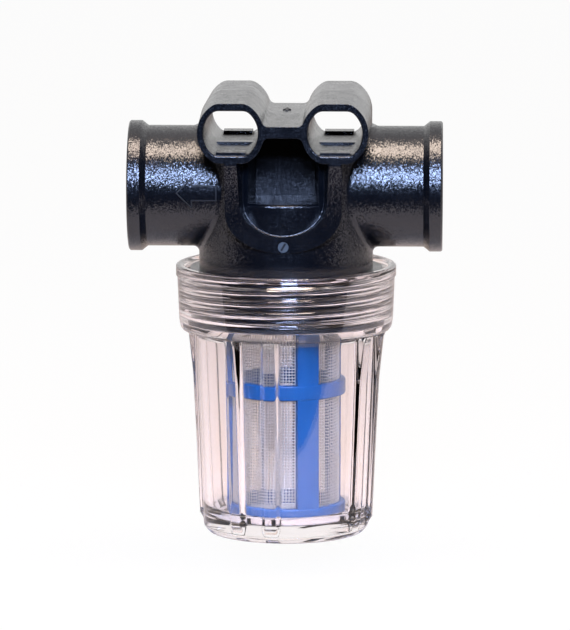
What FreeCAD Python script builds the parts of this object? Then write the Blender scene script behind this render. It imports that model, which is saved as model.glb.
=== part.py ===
"""Sea water strainer: black head with two threaded ports and twin sockets, and a clear screw-on bowl.

Millimetres, +Z up.  The origin is on the bowl's axis in the plane it stands on; the pipe runs along X and
the twin sockets along Y.  Inlet at +X, outlet at -X.
"""
import FreeCAD, Part
import math
import os

import Sketcher

Vector = FreeCAD.Vector

# ---------------------------------------------------------------- driving sizes
SIZES = {
    # clear bowl: cup
    "shelf_height": 78.4,
    "collar_radius": 39.4,
    "collar_step": 6.3,
    "cup_taper": 2.8,
    "bowl_wall": 3.0,
    "bowl_floor": 6.2,
    "foot_inset": 2.3,
    "foot_width": 3.5,
    "foot_recess": 1.5,
    "base_rounding": 3.5,
    "neck_height": 2.0,
    "neck_width": 1.2,
    # clear bowl: collar
    "collar_floor": 3.5,
    "collar_rounding": 3.4,
    "collar_wall": 4.5,
    "collar_depth": 20.6,
    "seal_seat_depth": 1.1,
    "lip_proud": 0.8,
    "lip_height": 4.5,
    "lip_edge": 0.6,
    "lead_in_depth": 2.6,
    "lead_in_width": 3.1,
    # grip ribs on the bowl: pairs of raised ribs that flare towards the collar
    "rib_pairs": 4,
    "rib_pair_angle": 24.7,
    "rib_first_angle": -33.0,
    "rib_top_width": 4.3,
    "rib_base_width": 7.3,
    "rib_foot_height": 1.4,
    "rib_foot_proud": 1.1,
    "rib_low_height": 6.0,
    "rib_low_proud": 1.6,
    "rib_middle_height": 38.4,
    "rib_middle_proud": 3.1,
    "rib_upper_height": 57.8,
    "rib_upper_proud": 4.1,
    "rib_head_drop": 2.3,
    "rib_head_proud": 5.7,
    "rib_flare": 0.4,
    # bowl gasket
    "gasket_width": 5.2,
    "gasket_height": 1.4,
    "gasket_clearance": 0.3,
    "seal_gap": 0.1,
    # filter basket
    "basket_inner_radius": 19.6,
    "basket_bar_thickness": 2.0,
    "basket_bar_width": 8.0,
    "basket_bar_front": 23.6,
    "basket_bar_left": -95.7,
    "basket_bar_rear": 121.5,
    "hoop_proud": 0.2,
    "hoop_edge": 0.7,
    "bottom_hoop_height": 5.5,
    "middle_hoop_rise": 45.4,
    "middle_hoop_height": 5.6,
    "top_hoop_height": 6.0,
    "basket_rise": 12.1,
    "mesh_thickness": 0.4,
    "mesh_gap_width": 3.2,
    "mesh_gap_height": 8.4,
    "mesh_gap_columns": 15,
    "mesh_gap_rows": 7,
    # head: skirt, flange and barrel
    "skirt_clearance": 0.3,
    "skirt_wall": 6.1,
    "flange_proud": 0.2,
    "flange_sink": 2.0,
    "flange_height": 0.7,
    "barrel_step": 3.2,
    "barrel_overlap": 1.2,
    "pipe_fillet": 2.2,
    # head: pipe run and ports
    "pipe_rise": 28.5,
    "pipe_radius": 22.0,
    "pipe_reach": 25.3,
    "rim_proud": 1.75,
    "rim_width": 4.6,
    "rim_slope": 2.2,
    "rim_bevel": 0.5,
    "port_radius": 16.6,
    "port_depth": 19.0,
    "port_bevel": 1.2,
    "waterway_radius": 13.0,
    # head: inside
    "spigot_clearance": 0.35,
    "spigot_wall": 2.6,
    "spigot_overlap": 3.2,
    "well_rise": 2.0,
    "chamber_drop": 6.0,
    "duct_floor_thickness": 5.0,
    "duct_half_width": 11.0,
    "duct_wall": 4.7,
    "riser_angle": 84.0,
    "riser_wall": 3.5,
    # head: twin sockets and the web between them
    "tube_rise": 23.5,
    "tube_spacing": 37.4,
    "tube_radius": 12.0,
    "tube_flat": 10.8,
    "tube_draft": 0.65,
    "tube_corner": 5.0,
    "socket_wall": 2.15,
    "socket_flat": 8.1,
    "socket_pad_width": 10.7,
    "socket_pad_length": 7.3,
    "socket_pad_inset": 1.3,
    "socket_pad_rise": 1.2,
    "socket_rib_width": 5.0,
    "socket_rib_rise": 0.9,
    "socket_corner": 4.0,
    "socket_edge": 0.5,
    "web_above_axis": 2.5,
    "web_below_axis": 1.6,
    "web_draft": 0.6,
    "web_fillet": 2.4,
    # head: U-shaped strap, the same at the front and the rear
    "strap_half_width": 21.0,
    "strap_leg_width": 4.4,
    "strap_shoulder_drop": 5.8,
    "strap_inner_shoulder_drop": 2.0,
    "strap_drop": 20.6,
    "strap_bottom_width": 5.9,
    "strap_proud": 0.3,
    "strap_flare": 5.3,
    "strap_bend_rise": 11.9,
    "strap_draft": 0.19,
    # head: pocket in the barrel between the legs of the strap
    "pocket_floor_drop": 2.9,
    "pocket_half_width": 13.0,
    "pocket_back": 6.0,
    "pocket_draft": 2.2,
    "pocket_wall": 3.0,
    "pocket_edge": 1.2,
    "strap_fillet": 0.4,
    # flow arrow on the pipe
    "arrow_rise": 0.35,
    "arrow_reach": 7.2,
    "arrow_head_length": 5.4,
    "arrow_half_width": 5.35,
    "arrow_shaft_half_width": 2.65,
    # bleed screw in the foot of the front strap
    "screw_rise": 2.4,
    "screw_radius": 1.9,
    "screw_clearance": 0.05,
    "screw_length": 4.0,
    "screw_proud": 0.2,
    "screw_slot_width": 0.9,
    "screw_slot_depth": 0.8,
    "screw_slot_length": 3.2,
    "screw_slot_angle": 30.0,
    "screw_seal_thickness": 0.8,
    "bleed_radius": 0.8,
}

# Places that follow from the driving sizes, as expressions that the sheet's names feed.
COLLAR_BORE = "(Sizes.collar_radius - Sizes.collar_wall)"
COLLAR_UNDERSIDE = "(Sizes.shelf_height - Sizes.collar_floor)"
CUP_TOP_RADIUS = "(Sizes.collar_radius - Sizes.collar_step)"
CUP_BOTTOM_RADIUS = f"({CUP_TOP_RADIUS} - Sizes.cup_taper)"
FOOT_RADIUS = f"({CUP_BOTTOM_RADIUS} - Sizes.foot_inset)"
FOOT_INNER_RADIUS = f"({FOOT_RADIUS} - Sizes.foot_width)"
LIP_TOP = "(Sizes.shelf_height + Sizes.collar_depth)"
LIP_BASE = f"({LIP_TOP} - Sizes.lip_height)"
LIP_RADIUS = "(Sizes.collar_radius + Sizes.lip_proud)"
LEAD_IN_BASE = f"({LIP_TOP} - Sizes.lead_in_depth)"
SEAL_SEAT_RADIUS = f"({COLLAR_BORE} + Sizes.seal_seat_depth)"
GASKET_RADIUS = f"({SEAL_SEAT_RADIUS} - Sizes.gasket_clearance)"
GASKET_INNER_RADIUS = f"({GASKET_RADIUS} - Sizes.gasket_width)"
GASKET_TOP = "(Sizes.shelf_height + Sizes.gasket_height)"
SKIRT_BOTTOM = f"({GASKET_TOP} + Sizes.seal_gap)"
SKIRT_RADIUS = f"({COLLAR_BORE} - Sizes.skirt_clearance)"
SKIRT_BORE = f"({SKIRT_RADIUS} - Sizes.skirt_wall)"
FLANGE_RADIUS = f"({COLLAR_BORE} + Sizes.flange_proud)"
FLANGE_BASE = f"({LIP_TOP} - Sizes.flange_sink)"
FLANGE_TOP = f"({FLANGE_BASE} + Sizes.flange_height)"
BARREL_RADIUS = f"({COLLAR_BORE} - Sizes.barrel_step)"
PIPE_HEIGHT = f"({LIP_TOP} + Sizes.pipe_rise)"
PORT_FACE = f"({BARREL_RADIUS} + Sizes.pipe_reach)"
RIM_RADIUS = "(Sizes.pipe_radius + Sizes.rim_proud)"
WATERWAY_END = "(Sizes.pocket_half_width + Sizes.pocket_wall)"
TUBE_HEIGHT = f"({PIPE_HEIGHT} + Sizes.tube_rise)"
TUBE_OFFSET = "(Sizes.tube_spacing / 2)"
BARREL_TOP = f"({TUBE_HEIGHT} - Sizes.barrel_overlap)"
WEB_TOP = f"({TUBE_HEIGHT} + Sizes.web_above_axis)"
WEB_UNDERSIDE = f"({TUBE_HEIGHT} - Sizes.web_below_axis)"
SOCKET_RADIUS = "(Sizes.tube_radius - Sizes.socket_wall)"
STRAP_FOOT = f"({BARREL_RADIUS} + Sizes.strap_proud)"
TUBE_END = f"({STRAP_FOOT} + Sizes.strap_flare)"
SOCKET_PAD_END = f"({TUBE_END} - Sizes.socket_pad_inset)"
SOCKET_PAD_START = f"({SOCKET_PAD_END} - Sizes.socket_pad_length)"
STRAP_SHOULDER = f"({PIPE_HEIGHT} - Sizes.strap_shoulder_drop)"
STRAP_INNER_SHOULDER = f"({PIPE_HEIGHT} - Sizes.strap_inner_shoulder_drop)"
STRAP_BOTTOM = f"({PIPE_HEIGHT} - Sizes.strap_drop)"
STRAP_BEND = f"({PIPE_HEIGHT} + Sizes.strap_bend_rise)"
POCKET_FLOOR = f"({PIPE_HEIGHT} - Sizes.pocket_floor_drop)"
ARROW_TIP = f"({BARREL_RADIUS} + Sizes.arrow_reach)"
ARROW_BARB = f"({ARROW_TIP} - Sizes.arrow_head_length)"
SCREW_HEIGHT = f"({STRAP_BOTTOM} + Sizes.screw_rise)"
SCREW_FACE = f"({STRAP_FOOT} + Sizes.screw_proud)"
SCREW_BACK = f"({SCREW_FACE} - Sizes.screw_length)"
SEAL_BACK = f"({SCREW_BACK} - Sizes.screw_seal_thickness)"
BASKET_RADIUS = "(Sizes.basket_inner_radius + Sizes.basket_bar_thickness)"
HOOP_RADIUS = f"({BASKET_RADIUS} + Sizes.hoop_proud)"
BASKET_TOP = "(Sizes.shelf_height + Sizes.basket_rise)"
MIDDLE_HOOP_BASE = "(Sizes.bowl_floor + Sizes.middle_hoop_rise)"
SPIGOT_RADIUS = "(Sizes.basket_inner_radius - Sizes.spigot_clearance)"
SPIGOT_BORE = f"({SPIGOT_RADIUS} - Sizes.spigot_wall)"
SPIGOT_BOTTOM = f"({BASKET_TOP} - Sizes.spigot_overlap)"
MESH_TOP = f"({SPIGOT_BOTTOM} - Sizes.mesh_thickness)"
WELL_CEILING = f"({LIP_TOP} + Sizes.well_rise)"
CHAMBER_CEILING = f"({PIPE_HEIGHT} - Sizes.chamber_drop)"
DUCT_FLOOR = f"({WELL_CEILING} + Sizes.duct_floor_thickness)"
DUCT_REACH = f"({BARREL_RADIUS} - Sizes.duct_wall)"
RISER_BORE = f"({SPIGOT_BORE} + Sizes.riser_wall)"

ALONG_X = (Vector(0, 1, 0), 90)
ALONG_MINUS_X = (Vector(0, 1, 0), -90)
ALONG_Y = (Vector(1, 0, 0), -90)
ALONG_MINUS_Y = (Vector(1, 0, 0), 90)
UPRIGHT = (Vector(0, 0, 1), 0)

# How far a point may lie from a surface and still count as on it.
NEAR = 0.01
# How far a cutter runs past what it cuts.
PAST = 1.0

doc = FreeCAD.newDocument("SeaWaterStrainer")
sheet = doc.addObject("Spreadsheet::Sheet", "Sizes")
for row, (name, number) in enumerate(SIZES.items(), start=1):
    sheet.set(f"A{row}", name)
    sheet.set(f"B{row}", str(number))
    sheet.setAlias(f"B{row}", name)
doc.recompute()


def value(expression):
    """The number that an expression on the sheet gives now."""
    return float(sheet.evalExpression(expression))


def size(name):
    """The number in one cell of the sheet."""
    return float(sheet.get(name))


def primitive(kind, name, bindings, place=("0", "0", "0"), turn=UPRIGHT, angle=None):
    """A Part primitive whose sizes, position and (optional) angle are bound to the sheet."""
    item = doc.addObject(kind, name)
    item.Placement = FreeCAD.Placement(Vector(), FreeCAD.Rotation(*turn))
    for key, expression in bindings.items():
        item.setExpression(key, expression)
    for axis, expression in zip("xyz", place):
        item.setExpression(f"Placement.Base.{axis}", expression)
    if angle is not None:
        item.Placement = FreeCAD.Placement(Vector(), FreeCAD.Rotation(Vector(0, 0, 1), 1))
        item.setExpression("Placement.Rotation.Angle", angle)
    return item


def cylinder(name, radius, height, place=("0", "0", "0"), turn=UPRIGHT):
    """A cylinder that starts at a place and runs along its turned axis."""
    return primitive("Part::Cylinder", name, {"Radius": radius, "Height": height}, place, turn)


def upright(name, radius, low, high):
    """A cylinder on the bowl's axis between two heights."""
    return cylinder(name, radius, f"{high} - {low}", ("0", "0", low))


def cone(name, radius_start, radius_end, height, place, turn):
    """A truncated cone that starts at a place and runs along its turned axis."""
    return primitive("Part::Cone", name, {"Radius1": radius_start, "Radius2": radius_end, "Height": height},
                     place, turn)


def block(name, x_range, y_range, z_range, far_x=None, far_z=None, angle=None):
    """A block between limits, which may narrow or widen towards its far end in Y."""
    far_x = far_x or x_range
    far_z = far_z or z_range
    limits = {"Xmin": x_range[0], "Xmax": x_range[1], "Ymin": y_range[0], "Ymax": y_range[1],
              "Zmin": z_range[0], "Zmax": z_range[1], "X2min": far_x[0], "X2max": far_x[1],
              "Z2min": far_z[0], "Z2max": far_z[1]}
    return primitive("Part::Wedge", name, limits, angle=angle)


def fuse(name, items):
    """One solid from several that meet."""
    item = doc.addObject("Part::MultiFuse", name)
    item.Shapes = items
    return item


def common(name, items):
    """What several solids share."""
    item = doc.addObject("Part::MultiCommon", name)
    item.Shapes = items
    return item


def cut(name, base, tool):
    """A solid with another taken out of it."""
    item = doc.addObject("Part::Cut", name)
    item.Base = base
    item.Tool = tool
    return item


def feature(name, shape):
    """A solid made with Part's own functions from numbers read off the sheet."""
    item = doc.addObject("Part::Feature", name)
    item.Shape = shape
    return item


def fillet(name, base, radius, wanted):
    """Round the edges of a recomputed solid for which wanted(edge) is true."""
    doc.recompute()
    item = doc.addObject("Part::Fillet", name)
    item.Base = base
    item.Edges = [(index, radius, radius) for index, edge in enumerate(base.Shape.Edges, start=1)
                  if wanted(edge)]
    doc.recompute()
    return item


def negative(expression):
    """The same size on the other side of the origin."""
    return f"(0 - {expression})"


def mirrored(expression, side):
    """An expression on the + or - side of the origin."""
    return expression if side > 0 else negative(expression)


def middle(edge):
    """The point halfway along an edge."""
    return edge.valueAt((edge.FirstParameter + edge.LastParameter) / 2)


# ---------------------------------------------------------------- bowl
def turned_solid(name, outline):
    """A PartDesign body turned about Z from a closed outline of (radius, height) expressions."""
    body = doc.addObject("PartDesign::Body", name)
    sketch = body.newObject("Sketcher::SketchObject", f"{name}_outline")
    planes = [item for item in body.Origin.OriginFeatures if item.Role == "XZ_Plane"]
    sketch.AttachmentSupport = [(planes[0], "")]
    sketch.MapMode = "FlatFace"
    corners = [Vector(value(radius), value(height), 0) for radius, height in outline]
    for start, end in zip(corners, corners[1:] + corners[:1]):
        sketch.addGeometry(Part.LineSegment(start, end), False)
    for index in range(len(corners)):
        sketch.addConstraint(Sketcher.Constraint("Coincident", index, 1, (index - 1) % len(corners), 2))
    for index, (radius, height) in enumerate(outline):
        across = sketch.addConstraint(Sketcher.Constraint("DistanceX", -1, 1, index, 1, corners[index].x))
        sketch.setExpression(f"Constraints[{across}]", radius)
        up = sketch.addConstraint(Sketcher.Constraint("DistanceY", -1, 1, index, 1, corners[index].y))
        sketch.setExpression(f"Constraints[{up}]", height)
    turned = body.newObject("PartDesign::Revolution", f"{name}_turned")
    turned.Profile = sketch
    turned.ReferenceAxis = (sketch, ["V_Axis"])
    turned.Angle = 360
    body.Tip = turned
    return body


def bowl_shell():
    """The bowl's turned wall: foot ring, tapering cup, collar with its gasket shelf, bead and lead-in."""
    inner_bottom = f"({CUP_BOTTOM_RADIUS} - Sizes.bowl_wall)"
    inner_top = f"({CUP_TOP_RADIUS} - Sizes.bowl_wall)"
    outline = [
        ("0", "Sizes.foot_recess"),
        (f"{FOOT_INNER_RADIUS} - Sizes.foot_recess", "Sizes.foot_recess"),
        (FOOT_INNER_RADIUS, "0"),
        (FOOT_RADIUS, "0"),
        (f"{CUP_BOTTOM_RADIUS} - Sizes.base_rounding / 7", "Sizes.base_rounding * 0.4"),
        (CUP_BOTTOM_RADIUS, "Sizes.base_rounding"),
        (CUP_TOP_RADIUS, f"{COLLAR_UNDERSIDE} - Sizes.neck_height"),
        (f"{CUP_TOP_RADIUS} + Sizes.neck_width", COLLAR_UNDERSIDE),
        ("Sizes.collar_radius - Sizes.collar_rounding", COLLAR_UNDERSIDE),
        ("Sizes.collar_radius - Sizes.collar_rounding * 0.35",
         f"{COLLAR_UNDERSIDE} + Sizes.collar_rounding * 0.3"),
        ("Sizes.collar_radius", f"{COLLAR_UNDERSIDE} + Sizes.collar_rounding"),
        ("Sizes.collar_radius", LIP_BASE),
        (LIP_RADIUS, f"{LIP_BASE} + Sizes.lip_edge"),
        (LIP_RADIUS, f"{LIP_TOP} - Sizes.lip_edge"),
        (f"{LIP_RADIUS} - Sizes.lip_edge", LIP_TOP),
        (f"{COLLAR_BORE} + Sizes.lead_in_width", LIP_TOP),
        (COLLAR_BORE, LEAD_IN_BASE),
        (COLLAR_BORE, f"{SKIRT_BOTTOM} + Sizes.seal_seat_depth"),
        (SEAL_SEAT_RADIUS, SKIRT_BOTTOM),
        (SEAL_SEAT_RADIUS, "Sizes.shelf_height"),
        (inner_top, "Sizes.shelf_height"),
        (inner_bottom, "Sizes.bowl_floor + Sizes.bowl_wall"),
        (f"{inner_bottom} - Sizes.bowl_wall", "Sizes.bowl_floor"),
        ("0", "Sizes.bowl_floor"),
    ]
    return turned_solid("bowl_shell", outline)


def rib_section(radius, height):
    """A closed outline across one grip rib at a height: wide at the wall, narrow at its top, facing -Y."""
    root = value(CUP_BOTTOM_RADIUS) - size("bowl_wall") / 2
    wall = value(CUP_BOTTOM_RADIUS)
    base = size("rib_base_width") / 2
    top = size("rib_top_width") / 2
    points = [(-base, -root), (-base, -wall), (-top, -radius), (top, -radius), (base, -wall), (base, -root)]
    corners = [Vector(across, out, height) for across, out in points]
    return Part.makePolygon(corners + corners[:1])


def grip_ribs():
    """All grip ribs: a loft up the wall, repeated in pairs round the bowl."""
    head = f"({COLLAR_UNDERSIDE} - Sizes.rib_head_drop)"
    flare = "Sizes.rib_head_proud + Sizes.rib_flare"
    levels = [("Sizes.rib_foot_proud", "Sizes.rib_foot_height"),
              ("Sizes.rib_low_proud", "Sizes.rib_low_height"),
              ("Sizes.rib_middle_proud", "Sizes.rib_middle_height"),
              ("Sizes.rib_upper_proud", "Sizes.rib_upper_height"), ("Sizes.rib_head_proud", head),
              (flare, f"{COLLAR_UNDERSIDE} + Sizes.rib_flare")]
    sections = [rib_section(value(f"{CUP_BOTTOM_RADIUS} + {proud}"), value(height))
                for proud, height in levels]
    rib = Part.makeLoft(sections, True, True)
    pairs = int(size("rib_pairs"))
    ribs = []
    for pair in range(pairs):
        for step in (0, 1):
            turned = rib.copy()
            angle = size("rib_first_angle") + 360 / pairs * pair + size("rib_pair_angle") * step
            turned.rotate(Vector(), Vector(0, 0, 1), angle)
            ribs.append(turned)
    hollow = Part.makeCone(value(CUP_BOTTOM_RADIUS) - size("bowl_wall") / 2,
                           value(CUP_TOP_RADIUS) - size("bowl_wall") / 2,
                           value("Sizes.shelf_height"))
    return feature("grip_ribs", Part.makeCompound([item.cut(hollow) for item in ribs]))


def make_bowl():
    """Clear bowl with its collar and grip ribs."""
    return fuse("bowl", [bowl_shell(), grip_ribs()])


# ---------------------------------------------------------------- gasket
def make_gasket():
    """Flat ring on the bowl's shelf, just under the skirt of the head."""
    ring = upright("gasket_disc", GASKET_RADIUS, "Sizes.shelf_height", GASKET_TOP)
    hole = upright("gasket_hole", GASKET_INNER_RADIUS, "Sizes.shelf_height", GASKET_TOP)
    return cut("bowl_gasket", ring, hole)


# ---------------------------------------------------------------- filter basket
def ring(name, outer, inner, low, high):
    """A hoop on the bowl's axis."""
    return cut(name, upright(f"{name}_disc", outer, low, high), upright(f"{name}_hole", inner, low, high))


def make_basket_frame():
    """Moulded frame: three upright bars joined by hoops at the bottom, the middle and the top."""
    inner = "Sizes.basket_inner_radius"
    floor = "Sizes.bowl_floor"
    outer = value(HOOP_RADIUS)

    def on_rim(edge):
        """Whether an edge runs round the outside of a hoop."""
        point = middle(edge)
        return len(edge.Vertexes) == 1 and abs(math.hypot(point.x, point.y) - outer) < NEAR

    middle_top = f"({MIDDLE_HOOP_BASE} + Sizes.middle_hoop_height)"
    top_base = f"({BASKET_TOP} - Sizes.top_hoop_height)"
    hoops = [
        ("bottom", floor, f"({floor} + Sizes.bottom_hoop_height)"),
        ("middle", MIDDLE_HOOP_BASE, middle_top),
        ("top", top_base, BASKET_TOP),
    ]
    pieces = []
    for name, low, high in hoops:
        plain = ring(f"{name}_hoop_blank", HOOP_RADIUS, inner, low, high)
        pieces.append(fillet(f"{name}_hoop", plain, size("hoop_edge"), on_rim))
    half = "(Sizes.basket_bar_width / 2)"
    for name in ("front", "left", "rear"):
        slab = block(f"bar_slab_{name}", (negative(half), half),
                     (negative(f"({BASKET_RADIUS} + {PAST})"),
                      negative("(Sizes.basket_inner_radius - Sizes.basket_bar_width / 2)")),
                     (floor, BASKET_TOP), angle=f"Sizes.basket_bar_{name}")
        sleeve = ring(f"bar_sleeve_{name}", BASKET_RADIUS, inner, floor, BASKET_TOP)
        pieces.append(common(f"bar_{name}", [sleeve, slab]))
    return fuse("basket_frame", pieces)


def make_basket_mesh():
    """Screen inside the frame: a thin sleeve with rows of gaps."""
    outer = "Sizes.basket_inner_radius"
    inner = "(Sizes.basket_inner_radius - Sizes.mesh_thickness)"
    base = "(Sizes.bowl_floor + Sizes.mesh_thickness)"
    sleeve = ring("mesh_sleeve", outer, inner, base, MESH_TOP)
    columns = int(size("mesh_gap_columns"))
    rows = int(size("mesh_gap_rows"))
    low = value(base)
    pitch = (value(MESH_TOP) - low) / rows
    width = size("mesh_gap_width")
    height = size("mesh_gap_height")
    reach = value(outer) + PAST
    gaps = []
    for row in range(rows):
        foot = low + pitch * (row + 0.5) - height / 2
        for column in range(columns):
            gap = Part.makeBox(width, reach - value(inner) + PAST, height,
                               Vector(-width / 2, -reach, foot))
            gap.rotate(Vector(), Vector(0, 0, 1), 360 / columns * column)
            gaps.append(gap)
    return cut("basket_mesh", sleeve, feature("mesh_gaps", Part.makeCompound(gaps)))


def make_basket_floor():
    """Round screen that closes the basket's lower end."""
    return upright("basket_floor_mesh", "Sizes.basket_inner_radius", "Sizes.bowl_floor",
                   "(Sizes.bowl_floor + Sizes.mesh_thickness)")


# ---------------------------------------------------------------- head
def pipe_run():
    """The pipe along X with a raised rim at each port."""
    start = negative(f"({PORT_FACE} - Sizes.rim_bevel)")
    pieces = [cylinder("pipe", "Sizes.pipe_radius", f"2 * ({PORT_FACE} - Sizes.rim_bevel)",
                       (start, "0", PIPE_HEIGHT), ALONG_X)]
    for label, side, turn in (("inlet", 1, ALONG_X), ("outlet", -1, ALONG_MINUS_X)):
        rim_start = f"({PORT_FACE} - Sizes.rim_width)"
        slope_start = f"({rim_start} - Sizes.rim_slope)"
        bevel_start = f"({PORT_FACE} - Sizes.rim_bevel)"
        height = PIPE_HEIGHT
        pieces.append(cone(f"{label}_slope", "Sizes.pipe_radius", RIM_RADIUS, "Sizes.rim_slope",
                           (mirrored(slope_start, side), "0", height), turn))
        pieces.append(cylinder(f"{label}_rim", RIM_RADIUS, "Sizes.rim_width - Sizes.rim_bevel",
                               (mirrored(rim_start, side), "0", height), turn))
        pieces.append(cone(f"{label}_edge", RIM_RADIUS, f"{RIM_RADIUS} - Sizes.rim_bevel",
                           "Sizes.rim_bevel", (mirrored(bevel_start, side), "0", height), turn))
    return fuse("pipe_run", pieces)


def barrel_and_pipe():
    """The upright barrel and the pipe through it, with a fillet where they meet, cut level on top."""
    tall = upright("tall_barrel", BARREL_RADIUS, FLANGE_BASE,
                   f"({BARREL_TOP} + Sizes.tube_radius)")
    tee = fuse("tee", [tall, pipe_run()])
    barrel = value(BARREL_RADIUS)
    pipe = size("pipe_radius")
    height = value(PIPE_HEIGHT)

    def on_both(edge):
        """Whether an edge lies on the barrel's and on the pipe's surface."""
        point = middle(edge)
        on_barrel = abs(math.hypot(point.x, point.y) - barrel) < NEAR
        return on_barrel and abs(math.hypot(point.y, point.z - height) - pipe) < NEAR

    rounded = fillet("rounded_tee", tee, size("pipe_fillet"), on_both)
    reach = f"({BARREL_RADIUS} + 2 * Sizes.pipe_fillet)"
    surplus = block("barrel_surplus", (negative(reach), reach), (negative(reach), reach),
                    (BARREL_TOP, f"({BARREL_TOP} + 2 * Sizes.tube_radius)"))
    return cut("levelled_tee", rounded, surplus)


def skirt():
    """The flange that closes on the bowl's lip and the skirt that carries the bowl thread."""
    flange = upright("flange", FLANGE_RADIUS, FLANGE_BASE, FLANGE_TOP)
    sleeve = upright("skirt_sleeve", SKIRT_RADIUS, SKIRT_BOTTOM, FLANGE_TOP)
    return fuse("skirt", [flange, sleeve])


def drafted_tube(label, side, half, turn):
    """Half of one socket tube, slimmer at its mouth and flat above and below."""
    root = "(Sizes.tube_radius + Sizes.tube_draft)"
    place = (mirrored(TUBE_OFFSET, side), "0", TUBE_HEIGHT)
    round_part = cone(f"tube_round_{label}", root, "Sizes.tube_radius", TUBE_END, place, turn)
    x_range = (f"{mirrored(TUBE_OFFSET, side)} - {root}", f"{mirrored(TUBE_OFFSET, side)} + {root}")
    mouth = (f"{TUBE_HEIGHT} - Sizes.tube_flat", f"{TUBE_HEIGHT} + Sizes.tube_flat")
    centre = (f"{TUBE_HEIGHT} - Sizes.tube_flat - Sizes.tube_draft",
              f"{TUBE_HEIGHT} + Sizes.tube_flat + Sizes.tube_draft")
    if half > 0:
        flats = block(f"tube_flats_{label}", x_range, ("0", TUBE_END), centre, far_z=mouth)
    else:
        flats = block(f"tube_flats_{label}", x_range, (negative(TUBE_END), "0"), mouth, far_z=centre)
    return common(f"tube_half_{label}", [round_part, flats])


def twin_tubes():
    """The two socket tubes and the web that joins them."""
    pieces = []
    for name, side in (("right", 1), ("left", -1)):
        for end, half, turn in (("rear", 1, ALONG_Y), ("front", -1, ALONG_MINUS_Y)):
            pieces.append(drafted_tube(f"{name}_{end}", side, half, turn))
    x_range = (negative(TUBE_OFFSET), TUBE_OFFSET)
    mouth = (WEB_UNDERSIDE, WEB_TOP)
    centre = (WEB_UNDERSIDE, f"({WEB_TOP} + Sizes.web_draft)")
    pieces.append(block("web_rear", x_range, ("0", TUBE_END), centre, far_z=mouth))
    pieces.append(block("web_front", x_range, (negative(TUBE_END), "0"), mouth, far_z=centre))
    tubes = fuse("plain_twin_tubes", pieces)
    spacing = value(TUBE_OFFSET)
    radius = size("tube_radius") + size("tube_draft")

    def beside_web(edge):
        """Whether an edge runs along Y in the corner between a tube and the web."""
        point = middle(edge)
        run = edge.Vertexes[-1].Point - edge.Vertexes[0].Point
        along = abs(run.y) > value(TUBE_END) * 0.9
        near_tube = spacing - radius - PAST < abs(point.x) < spacing - radius / 2
        return along and near_tube and abs(point.z - value(WEB_TOP)) < radius / 2

    def at_flat(edge):
        """Whether an edge runs along Y where a tube's round side meets one of its flats."""
        point = middle(edge)
        run = edge.Vertexes[-1].Point - edge.Vertexes[0].Point
        beyond_flat = abs(point.z - value(TUBE_HEIGHT)) > size("tube_flat")
        return abs(run.y) > value(TUBE_END) * 0.9 and beyond_flat

    webbed = fillet("webbed_tubes", tubes, size("web_fillet"), beside_web)
    return fillet("twin_tubes", webbed, size("tube_corner"), at_flat)


def socket_cutter(label, side):
    """What is removed for one socket: a flat-sided bore with a rib and end pads left standing in it."""
    place = (mirrored(TUBE_OFFSET, side), negative(f"({TUBE_END} + {PAST})"), TUBE_HEIGHT)
    bore = cylinder(f"socket_bore_{label}", SOCKET_RADIUS, f"2 * ({TUBE_END} + {PAST})", place, ALONG_Y)
    centre = mirrored(TUBE_OFFSET, side)
    x_range = (f"{centre} - {SOCKET_RADIUS} - {PAST}", f"{centre} + {SOCKET_RADIUS} + {PAST}")
    floor = f"({TUBE_HEIGHT} - Sizes.socket_flat)"
    flats = block(f"socket_flats_{label}", x_range, (place[1], f"({TUBE_END} + {PAST})"),
                  (floor, f"({TUBE_HEIGHT} + Sizes.socket_flat)"))
    below = f"({floor} - {PAST})"
    half_rib = "(Sizes.socket_rib_width / 2)"
    standing = [block(f"socket_rib_{label}", x_range, (negative(half_rib), half_rib),
                      (below, f"({floor} + Sizes.socket_rib_rise)"))]
    half_pad = "Sizes.socket_pad_width / 2"
    pad_x = (f"{centre} - {half_pad}", f"{centre} + {half_pad}")
    for end, half in (("rear", 1), ("front", -1)):
        span = (SOCKET_PAD_START, SOCKET_PAD_END)
        y_range = span if half > 0 else (negative(span[1]), negative(span[0]))
        standing.append(block(f"socket_pad_{label}_{end}", pad_x, y_range,
                              (below, f"({floor} + Sizes.socket_pad_rise)")))
    sharp = common(f"socket_hole_{label}", [bore, flats])

    def at_corner(edge):
        """Whether an edge runs along Y where the bore meets one of its flats."""
        run = edge.Vertexes[-1].Point - edge.Vertexes[0].Point
        off_centre = abs(middle(edge).z - value(TUBE_HEIGHT)) > size("tube_flat") / 2
        return abs(run.y) > value(TUBE_END) and off_centre

    hole = fillet(f"socket_rounded_{label}", sharp, size("socket_corner"), at_corner)
    return cut(f"socket_{label}", hole, fuse(f"socket_standing_{label}", standing))


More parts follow.
